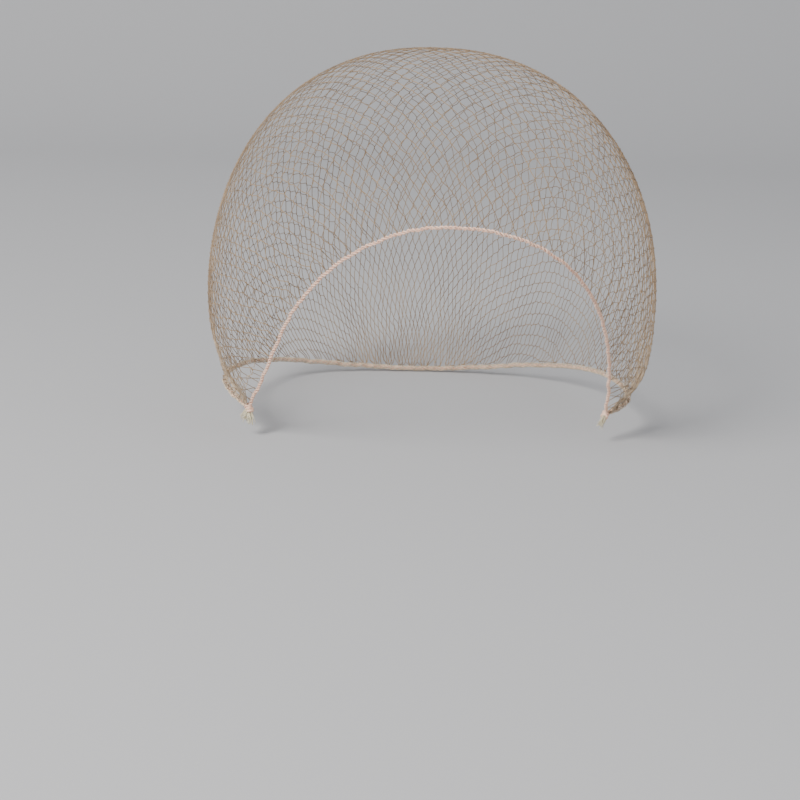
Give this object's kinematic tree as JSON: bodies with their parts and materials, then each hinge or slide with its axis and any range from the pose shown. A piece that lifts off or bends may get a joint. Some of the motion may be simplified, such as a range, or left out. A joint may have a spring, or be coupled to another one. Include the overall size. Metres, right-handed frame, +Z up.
{
  "type": "hairnet",
  "caption": "Worn hairnet: a rounded bag of fine open net between a forehead elastic and a gathered nape elastic, knotted together over each ear, open underneath.",
  "frame": {"origin": "the seat on top of the wearer's head, on the inner face of the net's crown (mount head_seat)", "axes": "+Z up along the head, -Y to the wearer's front, +X to the wearer's left"},
  "size_m": [0.1886, 0.1918, 0.1624],
  "materials": {
    "net": "fine light-tan net thread, soft satin",
    "elastic": "off-white two-ply elastic cord, matte",
    "knot": "pale cream knotted net and elastic, matte"
  },
  "bodies": {
    "root": {"net": "net", "forehead_elastic": "elastic", "nape_elastic": "elastic", "knot_left": "knot", "knot_right": "knot"}
  },
  "joints": []
}
